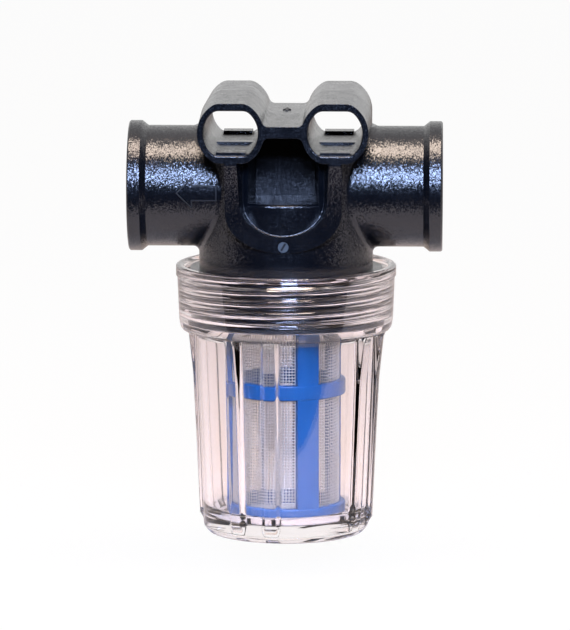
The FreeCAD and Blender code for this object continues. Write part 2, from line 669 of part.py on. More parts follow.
def u_outline(half_width, shoulder, bottom, top, depth):
    """A U-shaped wire in a plane across Y: two legs and half an ellipse below them."""
    centre = Vector(0, depth, shoulder)
    side_point = Vector(half_width, depth, shoulder)
    low_point = Vector(0, depth, bottom)
    if half_width >= shoulder - bottom:
        ellipse = Part.Ellipse(side_point, low_point, centre)
    else:
        ellipse = Part.Ellipse(low_point, Vector(-half_width, depth, shoulder), centre)
    ends = sorted([ellipse.parameter(side_point), ellipse.parameter(Vector(-half_width, depth, shoulder))])
    arc = Part.ArcOfEllipse(ellipse, ends[0], ends[1])
    if arc.value((ends[0] + ends[1]) / 2).z > shoulder:
        arc = Part.ArcOfEllipse(ellipse, ends[1], ends[0] + 2 * math.pi)
    left_top = Vector(-half_width, depth, top)
    right_top = Vector(half_width, depth, top)
    edges = [
        arc.toShape(),
        Part.makeLine(side_point, right_top),
        Part.makeLine(right_top, left_top),
        Part.makeLine(left_top, Vector(-half_width, depth, shoulder)),
    ]
    return Part.Wire(Part.__sortEdges__(edges))


def strap_side_outline():
    """The strap seen from the side: upright under the tubes, then curving in to a plumb foot."""
    top = value(TUBE_HEIGHT)
    end = value(TUBE_END)
    foot = value(STRAP_FOOT)
    bottom = value(STRAP_BOTTOM)
    bend = value(STRAP_BEND)
    rise = bend - bottom
    sweep = (rise ** 2 + (end - foot) ** 2) / (2 * (end - foot))
    half_way = math.asin(rise / sweep) / 2
    across = foot + sweep * (1 - math.cos(half_way))
    up = bottom + sweep * math.sin(half_way)
    x = -size("strap_half_width") - PAST
    rear = Part.Arc(Vector(x, end, bend), Vector(x, across, up), Vector(x, foot, bottom))
    front = Part.Arc(Vector(x, -foot, bottom), Vector(x, -across, up), Vector(x, -end, bend))
    edges = [
        Part.makeLine(Vector(x, end, top), Vector(x, end, bend)),
        rear.toShape(),
        Part.makeLine(Vector(x, foot, bottom), Vector(x, -foot, bottom)),
        front.toShape(),
        Part.makeLine(Vector(x, -end, bend), Vector(x, -end, top)),
        Part.makeLine(Vector(x, -end, top), Vector(x, end, top)),
    ]
    return Part.Wire(Part.__sortEdges__(edges))


def strap():
    """The U-shaped strap, front and rear: an outer U less a drafted inner U."""
    end = value(TUBE_END)
    top = value(TUBE_HEIGHT)
    outer_wire = u_outline(size("strap_half_width"), value(STRAP_SHOULDER), value(STRAP_BOTTOM), top, -end)
    outer = Part.Face(outer_wire).extrude(Vector(0, 2 * end, 0))
    side = Part.Face(strap_side_outline()).extrude(Vector(2 * (size("strap_half_width") + PAST), 0, 0))
    solid = outer.common(side)
    inner_half = size("strap_half_width") - size("strap_leg_width")
    inner_bottom = value(STRAP_BOTTOM) + size("strap_bottom_width")
    inner_shoulder = value(STRAP_INNER_SHOULDER)
    depth = end - size("pocket_back")
    narrow = size("strap_draft") * depth
    for side_sign in (-1, 1):
        mouth = u_outline(inner_half, inner_shoulder, inner_bottom, top + PAST, side_sign * end)
        back = u_outline(inner_half - narrow, inner_shoulder, inner_bottom + narrow / 4, top + PAST,
                         side_sign * size("pocket_back"))
        solid = solid.cut(Part.makeLoft([mouth, back], True, True))
    middle_block = Part.makeBox(4 * inner_half, 2 * value(BARREL_RADIUS) / 3, 3 * top,
                                Vector(-2 * inner_half, -value(BARREL_RADIUS) / 3, 0))
    return feature("strap", solid.cut(middle_block))


def pocket(label, half):
    """The recess between the strap's legs, narrower towards its back wall."""
    near = f"({BARREL_RADIUS} + {PAST})"
    far = "Sizes.pocket_back"
    wide = "Sizes.pocket_half_width"
    narrow = "(Sizes.pocket_half_width - Sizes.pocket_draft)"
    z_range = (POCKET_FLOOR, f"({BARREL_TOP} + {PAST})")
    if half > 0:
        return block(f"pocket_{label}", (negative(narrow), narrow), (far, near), z_range,
                     far_x=(negative(wide), wide))
    return block(f"pocket_{label}", (negative(wide), wide), (negative(near), negative(far)), z_range,
                 far_x=(negative(narrow), narrow))


def flow_arrow():
    """The raised arrow on the front of the outlet pipe, which follows the pipe's curve."""
    height = value(PIPE_HEIGHT)
    tip = -value(ARROW_TIP)
    barb = -value(ARROW_BARB)
    wide = size("arrow_half_width")
    slim = size("arrow_shaft_half_width")
    start = -value(BARREL_RADIUS) / 2
    points = [(tip, 0), (barb, wide), (barb, slim), (start, slim), (start, -slim), (barb, -slim),
              (barb, -wide)]
    corners = [Vector(x, -value(BARREL_RADIUS), height + z) for x, z in points]
    face = Part.Face(Part.makePolygon(corners + corners[:1]))
    prism = face.extrude(Vector(0, value(BARREL_RADIUS) - size("pipe_radius") / 2, 0))
    sleeve = Part.makeCylinder(size("pipe_radius") + size("arrow_rise"), value(PORT_FACE),
                               Vector(0, 0, height), Vector(-1, 0, 0))
    return feature("flow_arrow", prism.common(sleeve))


def waterways():
    """Everything that is hollow for the water, from the ports to the space round the basket."""
    height = PIPE_HEIGHT
    pieces = []
    for label, side, turn in (("inlet", 1, ALONG_X), ("outlet", -1, ALONG_MINUS_X)):
        thread_start = f"({PORT_FACE} - Sizes.port_depth)"
        bevel_start = f"({PORT_FACE} - Sizes.port_bevel)"
        pieces.append(cylinder(f"{label}_waterway", "Sizes.waterway_radius",
                               f"{PORT_FACE} - {WATERWAY_END}",
                               (mirrored(WATERWAY_END, side), "0", height), turn))
        pieces.append(cylinder(f"{label}_thread_bore", "Sizes.port_radius",
                               f"Sizes.port_depth + {PAST}",
                               (mirrored(thread_start, side), "0", height), turn))
        pieces.append(cone(f"{label}_mouth", "Sizes.port_radius",
                           "(Sizes.port_radius + Sizes.port_bevel)", "Sizes.port_bevel",
                           (mirrored(bevel_start, side), "0", height), turn))
    half = "Sizes.duct_half_width"
    pieces.append(block("inlet_duct", ("0", DUCT_REACH), (negative(half), half),
                        (DUCT_FLOOR, CHAMBER_CEILING)))
    pieces.append(upright("chamber", SPIGOT_BORE, f"({SPIGOT_BOTTOM} - {PAST})", CHAMBER_CEILING))
    well = upright("basket_well", SKIRT_BORE, f"({SKIRT_BOTTOM} - {PAST})", WELL_CEILING)
    spigot = upright("spigot", SPIGOT_RADIUS, SPIGOT_BOTTOM, WELL_CEILING)
    pieces.append(cut("basket_space", well, spigot))
    riser_outer = primitive("Part::Cylinder", "riser_outer",
                            {"Radius": SKIRT_BORE, "Angle": "Sizes.riser_angle",
                             "Height": f"{height} - {WELL_CEILING} + {PAST}"},
                            ("0", "0", f"({WELL_CEILING} - {PAST})"),
                            angle="180 - Sizes.riser_angle / 2")
    riser_core = upright("riser_core", RISER_BORE, f"({WELL_CEILING} - {PAST})", height)
    pieces.append(cut("riser", riser_outer, riser_core))
    return fuse("waterways", pieces)


def bleed_hole():
    """The screw's hole in the foot of the front strap and the fine passage behind it."""
    place = ("0", negative(f"({STRAP_FOOT} + {PAST})"), SCREW_HEIGHT)
    seat = cylinder("screw_hole", "(Sizes.screw_radius + Sizes.screw_clearance)",
                    f"{STRAP_FOOT} + {PAST} - {SEAL_BACK}", place, ALONG_Y)
    passage = cylinder("bleed_passage", "Sizes.bleed_radius", f"{SEAL_BACK} + {PAST}",
                       ("0", negative(f"({SEAL_BACK} + {PAST} / 2)"), SCREW_HEIGHT), ALONG_Y)
    return fuse("bleed_hole", [seat, passage])


def make_head():
    """The moulded head: barrel, pipe, skirt, straps, twin sockets and everything hollow in it."""
    lower = fuse("lower_head", [barrel_and_pipe(), skirt(), strap(), flow_arrow()])
    recessed = cut("recessed_head", lower, fuse("pockets", [pocket("front", -1), pocket("rear", 1)]))
    barrel = value(BARREL_RADIUS)
    sill = value(POCKET_FLOOR)

    def on_sill(edge):
        """Whether an edge is the front of a pocket's floor."""
        point = middle(edge)
        return abs(point.z - sill) < NEAR and abs(math.hypot(point.x, point.y) - barrel) < NEAR

    def inside_strap(edge):
        """Whether an edge is where the inner side of a strap meets the barrel."""
        point = middle(edge)
        on_barrel = abs(math.hypot(point.x, point.y) - barrel) < NEAR
        between_legs = abs(point.x) < size("strap_half_width") - size("strap_leg_width")
        above_foot = point.z > value(STRAP_BOTTOM) + size("strap_bottom_width") / 2
        below_tubes = point.z < value(BARREL_TOP) - NEAR
        off_pocket = abs(point.x) > size("pocket_half_width") or point.z < sill - 2 * size("pocket_edge")
        return on_barrel and between_legs and above_foot and below_tubes and off_pocket

    def at_socket_mouth(edge):
        """Whether an edge is the rim of a socket at a tube's end."""
        point = middle(edge)
        across = abs(abs(point.x) - value(TUBE_OFFSET))
        up = abs(point.z - value(TUBE_HEIGHT))
        at_end = all(abs(abs(corner.Point.y) - value(TUBE_END)) < NEAR for corner in edge.Vertexes)
        in_round = math.hypot(across, up) < value(SOCKET_RADIUS) + NEAR
        return at_end and in_round and up < size("socket_flat") + NEAR

    softened = fillet("softened_head", recessed, size("pocket_edge"), on_sill)
    blended = fillet("blended_head", softened, size("strap_fillet"), inside_strap)
    with_tubes = fuse("solid_head", [blended, twin_tubes()])
    sockets = fuse("sockets", [socket_cutter("right", 1), socket_cutter("left", -1)])
    hollowed = cut("hollowed_head", with_tubes, fuse("hollows", [waterways(), bleed_hole(), sockets]))
    return fillet("strainer_head", hollowed, size("socket_edge"), at_socket_mouth)


# ---------------------------------------------------------------- bleed screw
def make_screw():
    """Slotted screw that closes the bleed hole."""
    height = SCREW_HEIGHT
    shank = cylinder("screw_shank", "Sizes.screw_radius", "Sizes.screw_length",
                     ("0", negative(SCREW_FACE), height), ALONG_Y)
    width = size("screw_slot_width")
    length = size("screw_slot_length")
    depth = size("screw_slot_depth")
    slot = Part.makeBox(width, depth + PAST, length, Vector(-width / 2, 0, -length / 2))
    slot.rotate(Vector(), Vector(0, 1, 0), size("screw_slot_angle"))
    slot.translate(Vector(0, -value(SCREW_FACE) - PAST, value(SCREW_HEIGHT)))
    return cut("bleed_screw", shank, feature("screw_slot", slot))


def make_screw_seal():
    """Washer at the bottom of the bleed screw's hole."""
    height = SCREW_HEIGHT
    place = ("0", negative(SCREW_BACK), height)
    disc = cylinder("seal_disc", "Sizes.screw_radius", "Sizes.screw_seal_thickness", place, ALONG_Y)
    hole = cylinder("seal_hole", "Sizes.bleed_radius", "Sizes.screw_seal_thickness", place, ALONG_Y)
    return cut("bleed_screw_seal", disc, hole)


# ---------------------------------------------------------------- build, test and write
NODES = [make_head(), make_bowl(), make_gasket(), make_basket_frame(), make_basket_mesh(),
         make_basket_floor(), make_screw(), make_screw_seal()]
doc.recompute()
for item in doc.Objects:
    if "Invalid" in item.State or "Error" in item.State:
        raise RuntimeError(f"{item.Label} is {item.State}")
os.makedirs("parts", exist_ok=True)
for node in NODES:
    shape = node.Shape
    if shape.isNull() or not shape.isValid():
        raise RuntimeError(f"{node.Label} has no valid shape")
    print(node.Label, "solids", len(shape.Solids), "volume", round(shape.Volume, 1))
for node in NODES:
    node.Shape.exportStep(f"parts/{node.Label}.step")
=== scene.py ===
"""Looks of the sea water strainer: black moulded head, clear bowl and blue basket with its screen."""

import logging
import math
from dataclasses import dataclass, field
from enum import Enum

import bpy
import numpy as np
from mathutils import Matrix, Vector


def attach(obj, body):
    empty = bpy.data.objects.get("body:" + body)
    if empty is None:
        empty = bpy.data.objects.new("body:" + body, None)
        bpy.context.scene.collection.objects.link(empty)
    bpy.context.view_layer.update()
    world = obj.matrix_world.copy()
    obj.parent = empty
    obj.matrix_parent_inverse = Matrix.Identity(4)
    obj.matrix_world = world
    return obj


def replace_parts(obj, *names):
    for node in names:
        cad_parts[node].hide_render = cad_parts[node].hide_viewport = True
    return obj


logging.basicConfig(level=logging.INFO, format="%(name)s %(message)s")
LOG = logging.getLogger("strainer")
MM = 0.001
TURN = 2 * math.pi
ARC_SHARE = 0.49  # The most of a side that one corner's rounding may take.
THREAD_PITCH = 4.2
THREAD_START = 82.3  # Height where the bowl's thread begins, in millimetres.

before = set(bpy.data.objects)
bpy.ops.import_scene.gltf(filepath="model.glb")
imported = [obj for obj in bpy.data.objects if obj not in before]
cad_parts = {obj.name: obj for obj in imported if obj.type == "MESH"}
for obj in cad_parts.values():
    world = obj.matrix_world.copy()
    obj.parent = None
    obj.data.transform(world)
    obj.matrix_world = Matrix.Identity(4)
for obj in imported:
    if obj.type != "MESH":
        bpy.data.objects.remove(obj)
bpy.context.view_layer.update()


# ---------------------------------------------------------------- colour and nodes
def linear(hex_colour: str) -> tuple[float, float, float, float]:
    """Turn an sRGB hex colour to the linear values that a shader takes.

    Args:
        hex_colour: six hex digits, such as "1a2b3c".

    Returns:
        Linear red, green and blue, and an alpha of 1.
    """
    srgb = np.array([int(hex_colour[i:i + 2], 16) for i in (0, 2, 4)]) / 255
    low = srgb / 12.92
    high = ((srgb + 0.055) / 1.055) ** 2.4
    rgb = np.where(srgb <= 0.04045, low, high)
    return (float(rgb[0]), float(rgb[1]), float(rgb[2]), 1.0)


WHITE = linear("ffffff")


def add_node(tree: bpy.types.NodeTree, kind: str, links: dict | None = None, inputs: dict | None = None,
             **settings: object) -> bpy.types.Node:
    """Add one shader node.

    Args:
        tree: the node tree.
        kind: the node's type name.
        links: input name or index to the output socket that feeds it.
        inputs: input name or index to a constant.
        settings: attributes of the node itself.

    Returns:
        The new node.
    """
    item = tree.nodes.new(kind)
    for key, setting in settings.items():
        setattr(item, key, setting)
    for key, constant in (inputs or {}).items():
        item.inputs[key].default_value = constant
    for key, socket in (links or {}).items():
        tree.links.new(socket, item.inputs[key])
    return item


def new_material(name: str) -> tuple[bpy.types.Material, bpy.types.NodeTree, bpy.types.Node]:
    """Make an empty node material.

    Args:
        name: the material's name.

    Returns:
        The material, its tree and its output node.
    """
    material = bpy.data.materials.new(name)
    material.use_nodes = True
    material.node_tree.nodes.clear()
    output = material.node_tree.nodes.new("ShaderNodeOutputMaterial")
    return material, material.node_tree, output


# ---------------------------------------------------------------- finishes
@dataclass(frozen=True)
class BlackNylon:
    """Glass-filled nylon moulded in a spark-eroded tool: deep black, with a grain that glitters where lit.

    Each grain is a small facet tilted its own way, so a lamp's highlight breaks up into sparks.
    """

    colour: str = "070a10"
    roughness: float = 0.23
    grain_mm: float = 0.32
    tilt: float = 0.24
    edge_mm: float = 0.16
    mottle_mm: float = 6.0
    glossier: float = 0.03
    duller: float = 0.04
    ior: float = 1.53

    def build(self) -> bpy.types.Material:
        """Make the material."""
        material, tree, output = new_material("black_glass_filled_nylon")
        place = add_node(tree, "ShaderNodeTexCoord")
        facets = add_node(tree, "ShaderNodeTexVoronoi", {"Vector": place.outputs["Object"]},
                          {"Scale": 1 / (self.grain_mm * MM)})
        centred = add_node(tree, "ShaderNodeVectorMath", {0: facets.outputs["Color"]},
                           {1: (0.5, 0.5, 0.5)}, operation="SUBTRACT")
        tilted = add_node(tree, "ShaderNodeVectorMath", {0: centred.outputs[0]}, {"Scale": self.tilt},
                          operation="SCALE")
        edges = add_node(tree, "ShaderNodeBevel", None, {"Radius": self.edge_mm * MM}, samples=4)
        summed = add_node(tree, "ShaderNodeVectorMath", {0: edges.outputs[0], 1: tilted.outputs[0]},
                          operation="ADD")
        normal = add_node(tree, "ShaderNodeVectorMath", {0: summed.outputs[0]}, operation="NORMALIZE")
        mottle = add_node(tree, "ShaderNodeTexNoise", {"Vector": place.outputs["Object"]},
                          {"Scale": 1 / (self.mottle_mm * MM), "Detail": 3.0})
        gloss = add_node(tree, "ShaderNodeMapRange", {"Value": mottle.outputs["Fac"]},
                         {"From Min": 0.3, "From Max": 0.7, "To Min": self.roughness - self.glossier,
                          "To Max": self.roughness + self.duller})
        shader = add_node(tree, "ShaderNodeBsdfPrincipled",
                          {"Normal": normal.outputs[0], "Roughness": gloss.outputs["Result"]},
                          {"Base Color": linear(self.colour), "IOR": self.ior})
        tree.links.new(shader.outputs[0], output.inputs["Surface"])
        return material


@dataclass(frozen=True)
class ClearPolycarbonate:
    """Clear moulded polycarbonate with the faintest pink-grey cast."""

    tint: str = "fdfbfb"
    shadow: str = "f4f1f1"
    roughness: float = 0.01
    flow_mm: float = 9.0
    ripple: float = 0.14
    ripple_mm: float = 0.1
    ior: float = 1.57

    def build(self) -> bpy.types.Material:
        """Make the material."""
        material, tree, output = new_material("clear_polycarbonate")
        place = add_node(tree, "ShaderNodeTexCoord")
        flow = add_node(tree, "ShaderNodeTexNoise", {"Vector": place.outputs["Object"]},
                        {"Scale": 1 / (self.flow_mm * MM), "Detail": 1.0})
        bump = add_node(tree, "ShaderNodeBump", {"Height": flow.outputs["Fac"]},
                        {"Strength": self.ripple, "Distance": self.ripple_mm * MM})
        glass = add_node(tree, "ShaderNodeBsdfGlass", {"Normal": bump.outputs["Normal"]},
                         {"Color": linear(self.tint), "Roughness": self.roughness, "IOR": self.ior})
        shade = add_node(tree, "ShaderNodeBsdfTransparent", None, {"Color": linear(self.shadow)})
        path = add_node(tree, "ShaderNodeLightPath")
        mixed = add_node(tree, "ShaderNodeMixShader",
                         {0: path.outputs["Is Shadow Ray"], 1: glass.outputs[0], 2: shade.outputs[0]})
        tree.links.new(mixed.outputs[0], output.inputs["Surface"])
        return material


@dataclass(frozen=True)
class NitrileRubber:
    """Moulded nitrile rubber: soft black with a dull sheen."""

    colour: str = "121213"
    roughness: float = 0.6
    skin_mm: float = 0.5
    skin_depth_mm: float = 0.03
    ior: float = 1.5

    def build(self) -> bpy.types.Material:
        """Make the material."""
        material, tree, output = new_material("black_nitrile_rubber")
        place = add_node(tree, "ShaderNodeTexCoord")
        skin = add_node(tree, "ShaderNodeTexNoise", {"Vector": place.outputs["Object"]},
                        {"Scale": 1 / (self.skin_mm * MM), "Detail": 2.0})
        bump = add_node(tree, "ShaderNodeBump", {"Height": skin.outputs["Fac"]},
                        {"Strength": 0.3, "Distance": self.skin_depth_mm * MM})
        shader = add_node(tree, "ShaderNodeBsdfPrincipled", {"Normal": bump.outputs["Normal"]},
                          {"Base Color": linear(self.colour), "Roughness": self.roughness,
                           "IOR": self.ior})
        tree.links.new(shader.outputs[0], output.inputs["Surface"])
        return material


@dataclass(frozen=True)
class BluePolypropylene:
    """Moulded polypropylene in a strong blue, slightly waxy, with light flow marks."""

    colour: str = "0d4a80"
    streak: str = "15548a"
    roughness: float = 0.34
    flow_mm: float = 3.0
    flow_squash: float = 0.25
    flow_depth_mm: float = 0.05
    ior: float = 1.49

    def build(self) -> bpy.types.Material:
        """Make the material."""
        material, tree, output = new_material("blue_polypropylene")
        place = add_node(tree, "ShaderNodeTexCoord")
        stretch = add_node(tree, "ShaderNodeMapping", {"Vector": place.outputs["Object"]},
                           {"Scale": (1.0, 1.0, self.flow_squash)})
        flow = add_node(tree, "ShaderNodeTexNoise", {"Vector": stretch.outputs[0]},
                        {"Scale": 1 / (self.flow_mm * MM), "Detail": 3.0})
        colour = add_node(tree, "ShaderNodeMix", {"Factor": flow.outputs["Fac"]}, data_type="RGBA")
        colour.inputs[6].default_value = linear(self.colour)
        colour.inputs[7].default_value = linear(self.streak)
        bump = add_node(tree, "ShaderNodeBump", {"Height": flow.outputs["Fac"]},
                        {"Strength": 0.2, "Distance": self.flow_depth_mm * MM})
        shader = add_node(tree, "ShaderNodeBsdfPrincipled",
                          {"Base Color": colour.outputs[2], "Normal": bump.outputs["Normal"]},
                          {"Roughness": self.roughness, "IOR": self.ior})
        tree.links.new(shader.outputs[0], output.inputs["Surface"])
        return material


@dataclass(frozen=True)
class DrawnStainless:
    """Stainless steel, drawn or turned: neutral metal with fine lines that spread its gloss."""

    name: str = "drawn_stainless_wire"
    colour: str = "f0ede8"
    roughness: float = 0.42
    line_mm: float = 0.2
    glossier: float = 0.08
    duller: float = 0.1

    def build(self) -> bpy.types.Material:
        """Make the material."""
        material, tree, output = new_material(self.name)
        place = add_node(tree, "ShaderNodeTexCoord")
        lines = add_node(tree, "ShaderNodeTexNoise", {"Vector": place.outputs["Object"]},
                         {"Scale": 1 / (self.line_mm * MM), "Detail": 2.0})
        gloss = add_node(tree, "ShaderNodeMapRange", {"Value": lines.outputs["Fac"]},
                         {"To Min": self.roughness - self.glossier,
                          "To Max": self.roughness + self.duller})
        shader = add_node(tree, "ShaderNodeBsdfPrincipled", {"Roughness": gloss.outputs["Result"]},
                          {"Base Color": linear(self.colour), "Metallic": 1.0})
        tree.links.new(shader.outputs[0], output.inputs["Surface"])
        return material


# ---------------------------------------------------------------- meshes
def grid_faces(rows: int, columns: int, wrap_rows: bool, wrap_columns: bool) -> np.ndarray:
    """Quads of a grid of points numbered row by row.

    Args:
        rows: number of rows.
        columns: number of columns.
        wrap_rows: whether the last row joins the first.
        wrap_columns: whether the last column joins the first.

    Returns:
        One row of four point numbers for each quad.
    """
    row = np.arange(rows if wrap_rows else rows - 1)[:, None]
    column = np.arange(columns if wrap_columns else columns - 1)[None, :]
    next_row = (row + 1) % rows
    next_column = (column + 1) % columns
    corners = [row * columns + column, row * columns + next_column,
               next_row * columns + next_column, next_row * columns + column]
    shape = (row.shape[0], column.shape[1])
    return np.stack([np.broadcast_to(corner, shape).ravel() for corner in corners], axis=1)


def dress(node: str, material: bpy.types.Material) -> None:
    """Give one CAD piece its finish.

    Args:
        node: the CAD piece's name.
        material: its finish.
    """
    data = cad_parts[node].data
    data.materials.clear()
    data.materials.append(material)


def make_piece(name: str, points: np.ndarray, faces: list, material: bpy.types.Material, body: str,
               smooth: bool = True) -> bpy.types.Object:
    """Put a mesh in the scene as one piece of the object.

    Args:
        name: the piece's name.
        points: points in millimetres, one a row.
        faces: arrays or lists of point numbers, one entry for each face.
        material: its finish.
        body: the CAD body that carries it.
        smooth: whether its faces are shaded smooth.

    Returns:
        The new object.
    """
    mesh = bpy.data.meshes.new(name)
    mesh.from_pydata((points * MM).tolist(), [], [list(map(int, face)) for face in faces])
    mesh.validate()
    mesh.materials.append(material)
    mesh.polygons.foreach_set("use_smooth", np.full(len(mesh.polygons), smooth))
    mesh.update()
    piece = bpy.data.objects.new(name, mesh)
    bpy.context.scene.collection.objects.link(piece)
    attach(piece, body)
    LOG.info("%s: %d faces on %s", name, len(mesh.polygons), body)
    return piece


def round_outline(corners: list, steps: int = 5) -> np.ndarray:
    """An outline whose corners are rounded by arcs.

    Each corner (x, y, radius) becomes a quadratic curve between the points where an arc of that radius
    would leave its two sides.

    Args:
        corners: (x, y, radius) in order.
        steps: points along each rounding.

    Returns:
        The outline's points, one a row.
    """
    spots = np.array([corner[:2] for corner in corners], dtype=float)
    result = [spots[:1]]
    for index in range(1, len(corners) - 1):
        before, here, after = spots[index - 1], spots[index], spots[index + 1]
        radius = corners[index][2]
        if radius <= 0:
            result.append(here[None])
            continue
        back = (before - here) / np.linalg.norm(before - here)
        ahead = (after - here) / np.linalg.norm(after - here)
        half = math.acos(float(np.clip(back @ ahead, -1, 1))) / 2
        reach = radius / math.tan(half)
        reach = min(reach, ARC_SHARE * np.linalg.norm(before - here),
                    ARC_SHARE * np.linalg.norm(after - here))
        t = np.linspace(0, 1, steps)[:, None]
        start, end = here + back * reach, here + ahead * reach
        result.append((1 - t) ** 2 * start + 2 * t * (1 - t) * here + t ** 2 * end)
    result.append(spots[-1:])
    return np.concatenate(result)


def divide(outline: np.ndarray, longest: float) -> np.ndarray:
    """Add points to an outline so that no step is longer than a length.

    Args:
        outline: points, one a row.
        longest: the longest step.

    Returns:
        The denser outline.
    """
    steps = np.linalg.norm(np.diff(outline, axis=0), axis=1)
    parts = np.maximum(1, np.ceil(steps / longest).astype(int))
    pieces = [outline[i] + (outline[i + 1] - outline[i]) * np.linspace(0, 1, n, endpoint=False)[:, None]
              for i, n in enumerate(parts)]
    return np.concatenate(pieces + [outline[-1:]])


def smooth_step(value: np.ndarray, low: float, high: float) -> np.ndarray:
    """A smooth climb from 0 to 1.

    Args:
        value: where it is wanted.
        low: where the climb starts.
        high: where it ends.

    Returns:
        The climb at each value.
    """
    t = np.clip((value - low) / (high - low), 0, 1)
    return t * t * (3 - 2 * t)


class Facing(Enum):
    """Which way a thread's ridge stands off its cylinder."""

    OUTWARD = 1
    INWARD = -1


@dataclass
class HelicalRidge:
    """One thread ridge on a cylinder, with its ends run out.

    The ridge's section is a trapezoid swept along the helix (R cos a, R sin a, pitch * a / 2 pi).
    Lengths are in millimetres along the thread's own axis.
    """

    radius: float
    depth: float
    pitch: float
    start: float
    turns: float
    base_share: float
    top_share: float
    facing: Facing
    root_sink: float = 0.06
    foot_rise: float = 0.05
    run_out: float = 0.9
    steps: int = 120

    def points(self) -> np.ndarray:
        """Points of the ridge.

        Returns:
            A grid of points: one row for each step along the helix, six round the section.
        """
        count = int(self.steps * self.turns)
        angle = np.linspace(0, TURN * self.turns, count)
        height = np.minimum(smooth_step(angle, 0, self.run_out),
                            smooth_step(TURN * self.turns - angle, 0, self.run_out))
        sign = self.facing.value
        base = self.base_share * self.pitch / 2
        top = self.top_share * self.pitch / 2
        sunk = -self.root_sink / self.depth
        lift = np.array([sunk, self.foot_rise, 1.0, 1.0, self.foot_rise, sunk])
        along = np.array([-base, -base, -top, top, base, base])
        rise = np.where(lift > 0, lift[None, :] * height[:, None], lift[None, :])
        radial = self.radius + sign * self.depth * rise
        axial = self.start + self.pitch * angle[:, None] / TURN + along[None, :]
        return np.stack([radial * np.cos(angle)[:, None], radial * np.sin(angle)[:, None],
                         np.broadcast_to(axial, radial.shape)], axis=2)

    def faces(self, rows: int) -> list:
        """Faces of the ridge.

        Args:
            rows: number of steps along the helix.

        Returns:
            The quads of the sweep and the two end caps.
        """
        quads = grid_faces(rows, 6, False, True)
        if self.facing is Facing.INWARD:
            quads = quads[:, ::-1]
        caps = [[5, 4, 3, 2, 1, 0], [(rows - 1) * 6 + i for i in range(6)]]
        if self.facing is Facing.INWARD:
            caps = [cap[::-1] for cap in caps]
        return list(quads) + caps


# ---------------------------------------------------------------- head
# Outlines of the small marks: (across, along) in millimetres.
WEB_ARROW = [(-1.5, -1.5), (-0.5, -0.8), (-0.5, -5.0), (0.5, -5.0), (0.5, -0.8), (1.5, -1.5), (0, 5.0)]
CHEVRON = [(-1.5, -1.6), (-0.8, -1.6), (0, 0.1), (0.8, -1.6), (1.5, -1.6), (0, 1.6)]
SLOT_BAR = [(-0.4, -1.5), (0.4, -1.5), (0.4, 1.5), (-0.4, 1.5)]


